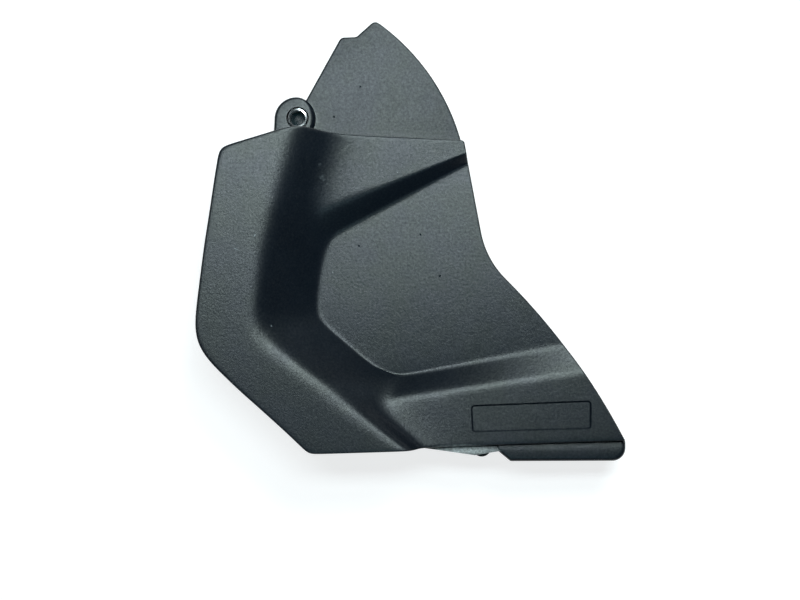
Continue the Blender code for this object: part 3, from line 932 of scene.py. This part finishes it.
def field_cutter(tree, group):
    """The shallow rounded field: its floor lies just under the panel, its sides slope."""
    outline = rounded(FIELD_CORNERS, [FIELD_ROUND] * len(FIELD_CORNERS), FIELD_STEPS)
    count = len(outline)
    bm = bmesh.new()
    floor, roof = [], []
    for index, place in enumerate(outline):
        along = (outline[(index + 1) % count] - outline[index - 1]).normalized()
        away = Vector((-along.y, along.x))
        height = surface_z(tree, *place)
        for ring, rise in ((floor, -FIELD_DEPTH), (roof, FIELD_ABOVE)):
            spot = place + away * FIELD_SLOPE * rise
            ring.append(bm.verts.new(Vector((spot.x, spot.y, height + rise)) * MM))
    bm.faces.new(floor)
    bm.faces.new(roof)
    band(bm, floor, roof)
    bmesh.ops.triangulate(bm, faces=bm.faces)
    bmesh.ops.recalc_face_normals(bm, faces=bm.faces)
    return object_from("field", bm, group)


def below(name, top, group):
    """Everything under a height."""
    reach = 2 * WING_RADIUS
    return box(name, (-reach, -reach, -reach), (reach, reach, top), group)


def peg(group):
    """The peg beside the foot, from under the strip down to the rear plane."""
    edge = foot_edge()
    place = (
        edge[ROOT].x + FOOT_START - PEG_FROM_FOOT,
        edge[EXIT].y - STRIP_REACH + PEG_INSET,
    )
    top = LOW_TIP_Z - LIP_STEP - PEG_DROP
    return cylinder("peg", place, PEG_RADIUS, -FLAT_ALLOWANCE, top, group)


def fine_cover(group):
    """The whole moulding in one body, as fine as the eye needs."""
    obj = smooth_shell("moulding", group)
    tree = tree_of(obj)
    cuts = [
        exit_cutter(group),
        below("rough_below", -2 * FLAT_ALLOWANCE, group),
        exit_edge_cutter(tree, group),
        field_cutter(tree, group),
    ]
    combine(obj, cuts, "DIFFERENCE")

    wing = plate("wing", wing_outline(), WING_Z - WING_THICKNESS, WING_Z, group, WING_EDGE)
    foot = crowned_plate("foot", foot_outline(), foot_height, FOOT_THICKNESS, FOOT_EDGE, group)
    additions = [raise_wing(wing), ear_plate(group), foot, strip_plate(group), peg(group)]
    additions += [gusset(f"gusset_{row}", STATIONS[row], group) for row in GUSSET_ROWS]
    additions += wing_ribs(group)
    combine(obj, additions, "UNION")

    seat_radius = SLEEVE_DIAMETER / 2 + FIT_GAP
    seat = cylinder("seat", ear_centre(), seat_radius, -EAR_Z, 2 * EAR_Z, group)
    combine(obj, [seat, below("below", 0.0, group)], "DIFFERENCE")
    drop_slivers(obj)
    obj.data.shade_smooth()
    obj.data.set_sharp_from_angle(angle=math.radians(COVER_SHARP_DEG))
    return obj


def fine_sleeve(group):
    """The turned steel sleeve, whose rubbed end slopes outwards from the bore's lip."""
    top = EAR_Z + SLEEVE_PROUD
    outer = SLEEVE_DIAMETER / 2
    bore = outer - SLEEVE_WALL
    small = SLEEVE_CHAMFER / 2
    crest = bore + SLEEVE_LIP
    width, drop = SLEEVE_CONE
    profile = [
        (crest, top),
        (crest + width, top - drop),
        (outer, top - drop - SLEEVE_FALL),
        (outer, SLEEVE_CHAMFER),
        (outer - SLEEVE_CHAMFER, 0.0),
        (bore + small, 0.0),
        (bore, small),
        (bore, top - 2 * SLEEVE_LIP),
    ]
    bm = bmesh.new()
    rings = []
    for step in range(TURN_STEPS):
        spun = turned(Vector((1.0, 0.0)), math.tau * step / TURN_STEPS)
        rings.append([bm.verts.new(Vector((spun.x * r, spun.y * r, z)) * MM) for r, z in profile])
    for step, ring in enumerate(rings):
        band(bm, ring, rings[(step + 1) % TURN_STEPS])
    bmesh.ops.recalc_face_normals(bm, faces=bm.faces)
    centre = ear_centre()
    bmesh.ops.translate(bm, verts=bm.verts, vec=Vector((centre.x, centre.y, 0.0)) * MM)
    obj = object_from("bolt_sleeve", bm, group)
    obj.data.shade_smooth()
    obj.data.set_sharp_from_angle(angle=math.radians(SLEEVE_SHARP_DEG))
    return obj


class Nodes:
    """Short calls to add and join nodes of one tree."""

    def __init__(self, tree):
        self.tree = tree

    def add(self, kind, inputs=None, **settings):
        node = self.tree.nodes.new(kind)
        for name, value in settings.items():
            setattr(node, name, value)
        for name, value in (inputs or {}).items():
            socket = node.inputs[name]
            if isinstance(value, bpy.types.NodeSocket):
                self.tree.links.new(value, socket)
            else:
                socket.default_value = value
        return node

    def math(self, operation, first, second=0.0):
        node = self.add("ShaderNodeMath", {0: first, 1: second}, operation=operation)
        return node.outputs[0]

    def vector(self, operation, first, second=(0.0, 0.0, 0.0)):
        node = self.add("ShaderNodeVectorMath", {0: first, 1: second}, operation=operation)
        return node.outputs["Value" if operation == "LENGTH" else "Vector"]

    def noise(self, where, scale, detail=2.0, roughness=0.5):
        values = {"Vector": where, "Scale": scale, "Detail": detail, "Roughness": roughness}
        return self.add("ShaderNodeTexNoise", values).outputs["Fac"]

    def spread(self, value, low, high, out_low=0.0, out_high=1.0):
        values = {"Value": value, "From Min": low, "From Max": high}
        values |= {"To Min": out_low, "To Max": out_high}
        return self.add("ShaderNodeMapRange", values).outputs["Result"]

    def mix(self, share, first, second):
        values = {0: share, 6: first, 7: second}
        return self.add("ShaderNodeMix", values, data_type="RGBA").outputs[2]


def new_material(name):
    made = bpy.data.materials.new(name)
    made.use_nodes = True
    nodes = Nodes(made.node_tree)
    return made, nodes, made.node_tree.nodes["Principled BSDF"]


def spots(n, where, marks):
    """A mask that is one inside each mark, a place and a radius in millimetres."""
    mask = 0.0
    for x, y, radius in marks:
        offset = n.vector("SUBTRACT", where, (x * MM, y * MM, 0.0))
        span = n.vector("LENGTH", n.vector("MULTIPLY", offset, (1.0, 1.0, 0.0)))
        mask = n.math("MAXIMUM", mask, n.spread(span, radius * MM, radius * MM * SPOT_CORE))
    return mask


def streaks(n, where, marks):
    """A mask that is one inside each long mark, such as a scratch."""
    mask = 0.0
    for x, y, half_length, half_width, angle in marks:
        values = {
            "Vector": where,
            "Location": (x * MM, y * MM, 0.0),
            "Rotation": (0.0, 0.0, math.radians(angle)),
            "Scale": (half_length * MM, half_width * MM, 1.0),
        }
        local = n.add("ShaderNodeMapping", values, vector_type="TEXTURE").outputs[0]
        mask = n.math("MAXIMUM", mask, n.spread(n.vector("LENGTH", local), 1.0, STREAK_CORE))
    return mask


def use_marks(n, where, patch, grain):
    """Masks of the pits, of the pale nicks and scuffs, and of the painted light on the lip
    strip's top.
    """
    wander = n.add("ShaderNodeTexNoise", {"Vector": where, "Scale": WANDER_SCALE})
    shift = n.vector("SUBTRACT", wander.outputs["Color"], (0.5, 0.5, 0.5))
    ragged = n.vector("ADD", where, n.vector("MULTIPLY", shift, [WANDER * MM] * 3))
    pits = spots(n, ragged, PITS)
    nicks = n.math("MAXIMUM", spots(n, ragged, NICKS), streaks(n, ragged, SCRATCHES))
    nicks = n.math("MULTIPLY", nicks, NICK_SHARE)
    scuffs = n.math("MULTIPLY", spots(n, where, SCUFFS), n.spread(patch, *PATCH_SCUFF))
    scuffs = n.math("MULTIPLY", scuffs, SCUFF_SHARE)
    # Painted light: only the lip strip's top, above a height, is made pale where light falls on
    # it
    height = n.add("ShaderNodeSeparateXYZ", {0: where}).outputs["Z"]
    on_top = n.spread(height, LIP_PAINTED_LIGHT_Z * MM, (LIP_PAINTED_LIGHT_Z + LIP_PAINTED_LIGHT_FADE) * MM)
    lip_light = n.math("MULTIPLY", streaks(n, ragged, LIP_PAINTED_LIGHT), n.spread(grain, *GRAIN_PAINTED_LIGHT))
    return pits, n.math("MAXIMUM", nicks, scuffs), n.math("MULTIPLY", lip_light, on_top)


def wing_mask(n, where):
    """A mask that is one on the wing, and nothing on the shell and the ear."""
    axes = n.add("ShaderNodeSeparateXYZ", {0: where}).outputs
    along_edge = n.math("ADD", axes["Y"], n.math("MULTIPLY", axes["X"], WING_START_SLOPE))
    past_edge = n.spread(along_edge, WING_STARTS * MM, (WING_STARTS + WING_START_FADE) * MM)
    off_ear = n.spread(spots(n, where, (EAR_MARK,)), 0.0, EAR_MARK_CUT, 1.0, 0.0)
    return n.math("MULTIPLY", past_edge, off_ear)


def plastic():
    """Charcoal plastic with an eroded grain, coarser on the wing, its marks of use, and painted
    light on the lip strip's top.
    """
    made, n, shader = new_material("grained_plastic")
    where = n.add("ShaderNodeTexCoord").outputs["Object"]
    cloud = n.noise(where, *CLOUD)
    patch = n.noise(where, *PATCH)
    grain = n.noise(where, *GRAIN)
    pits, pale, lip_light = use_marks(n, where, patch, grain)

    colour = n.mix(n.spread(cloud, *CLOUD_SHADE), *PLASTIC_SHADES)
    colour = n.mix(n.spread(grain, *GRAIN_SPECK), colour, SPECK_COLOUR)
    colour = n.mix(pale, colour, PALE_COLOUR)
    # Painted light: the lip strip's top is made pale
    colour = n.mix(lip_light, colour, PAINTED_LIGHT_COLOUR)
    tint = n.mix(n.spread(cloud, *CLOUD_SHEEN), *SHEENS)
    rougher = n.math("MULTIPLY", wing_mask(n, where), WING_ROUGHER)
    rough = n.math("ADD", n.spread(patch, *PATCH_ROUGH), rougher)
    gloss = n.spread(pits, 0.0, 1.0, 1.0, PIT_GLOSS)
    gloss = n.math("MULTIPLY", n.spread(grain, *GRAIN_GLOSS), gloss)
    height = n.math("ADD", grain, n.math("MULTIPLY", patch, PATCH_RELIEF))
    height = n.math("SUBTRACT", height, n.math("MULTIPLY", pits, PIT_RELIEF))
    relief = {"Height": height, "Strength": BUMP_STRENGTH, "Distance": BUMP_DEPTH * MM}
    bump = n.add("ShaderNodeBump", relief)
    links = made.node_tree.links
    links.new(colour, shader.inputs["Base Color"])
    links.new(tint, shader.inputs["Specular Tint"])
    links.new(rough, shader.inputs["Roughness"])
    links.new(gloss, shader.inputs["Specular IOR Level"])
    links.new(bump.outputs["Normal"], shader.inputs["Normal"])
    return made


def steel():
    """Zinc plated steel, turned and a little dull."""
    made, n, shader = new_material("zinc_plated_steel")
    where = n.add("ShaderNodeTexCoord").outputs["Object"]
    cloud = n.noise(where, *STEEL_CLOUD)
    links = made.node_tree.links
    links.new(n.mix(n.spread(cloud, *CLOUD_SHADE), *STEEL_SHADES), shader.inputs["Base Color"])
    links.new(n.spread(cloud, *STEEL_ROUGH), shader.inputs["Roughness"])
    shader.inputs["Metallic"].default_value = 1.0
    return made


def camera(shift):
    lens = bpy.data.cameras.new("camera")
    lens.lens = CAMERA_LENS
    lens.sensor_width = SENSOR
    lens.clip_end = CAMERA_CLIP
    obj = bpy.data.objects.new("camera", lens)
    bpy.context.scene.collection.objects.link(obj)
    obj.location = Vector(CAMERA_AT) * MM + shift
    bpy.context.scene.camera = obj


def area_light(name, place, target, size, power, colour, spread_deg):
    lamp = bpy.data.lights.new(name, "AREA")
    lamp.shape = "RECTANGLE"
    lamp.size, lamp.size_y = size
    lamp.energy = power
    lamp.color = colour
    lamp.spread = math.radians(spread_deg)
    obj = bpy.data.objects.new(name, lamp)
    bpy.context.scene.collection.objects.link(obj)
    obj.location = place
    obj.rotation_euler = (Vector(target) - Vector(place)).to_track_quat("-Z", "Y").to_euler()


def floor():
    """A floor that shows white to the camera and still takes the shadow."""
    bpy.ops.mesh.primitive_plane_add(size=FLOOR_SIZE)
    obj = bpy.context.active_object
    obj.name = "floor"
    made = bpy.data.materials.new("floor")
    made.use_nodes = True
    tree = made.node_tree
    tree.nodes.clear()
    n = Nodes(tree)
    ray = n.add("ShaderNodeLightPath").outputs
    seen = n.math("MAXIMUM", ray["Is Camera Ray"], ray["Is Glossy Ray"])
    seen = n.math("MAXIMUM", seen, ray["Is Transmission Ray"])
    open_air = n.add("ShaderNodeAmbientOcclusion", {"Distance": SHADOW_REACH}).outputs["AO"]
    openness = n.spread(open_air, *SHADOW_OPENNESS)
    paint = n.add("ShaderNodeBsdfDiffuse", {"Color": FLOOR_PAINT})
    dim_colour = n.mix(openness, SHADOW_COLOUR, FLOOR_SHOWN)
    dim = n.add("ShaderNodeBsdfDiffuse", {"Color": dim_colour})
    strength = n.math("MULTIPLY", openness, FLOOR_GLOW)
    glow = n.add("ShaderNodeEmission", {"Color": WHITE, "Strength": strength})
    shown = n.add("ShaderNodeAddShader", {0: dim.outputs[0], 1: glow.outputs[0]})
    mixed = n.add("ShaderNodeMixShader", {0: seen, 1: paint.outputs[0], 2: shown.outputs[0]})
    n.add("ShaderNodeOutputMaterial", {"Surface": mixed.outputs[0]})
    obj.data.materials.append(made)


def studio():
    world = bpy.data.worlds.new("studio")
    bpy.context.scene.world = world
    world.use_nodes = True
    sky = world.node_tree.nodes["Background"].inputs
    sky["Color"].default_value = SKY_COLOUR
    sky["Strength"].default_value = SKY_STRENGTH
    for name, settings in LAMPS.items():
        area_light(name, *settings)
    bpy.context.scene.view_settings.view_transform = "Standard"


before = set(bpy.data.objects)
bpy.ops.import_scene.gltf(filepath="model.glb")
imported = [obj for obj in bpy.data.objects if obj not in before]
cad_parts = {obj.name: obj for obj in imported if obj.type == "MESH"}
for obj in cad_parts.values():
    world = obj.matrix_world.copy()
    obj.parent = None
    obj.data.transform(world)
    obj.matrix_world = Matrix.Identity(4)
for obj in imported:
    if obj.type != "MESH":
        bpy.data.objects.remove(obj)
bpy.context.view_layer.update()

work = collection("pieces")
cover = fine_cover(work)
ring = fine_sleeve(work)
low, high = (Vector(corner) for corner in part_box("sleeve"))
shift = ((low + high) / 2 - (ear_centre() * MM).to_3d()) * Vector((1.0, 1.0, 0.0))
for piece in (cover, ring):
    piece.data.transform(Matrix.Translation(shift))
cover.data.materials.clear()
cover.data.materials.append(plastic())
ring.data.materials.append(steel())

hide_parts("cover_moulding")
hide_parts("sleeve")
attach(cover, "root")
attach(ring, "root")

camera(shift)
floor()
studio()
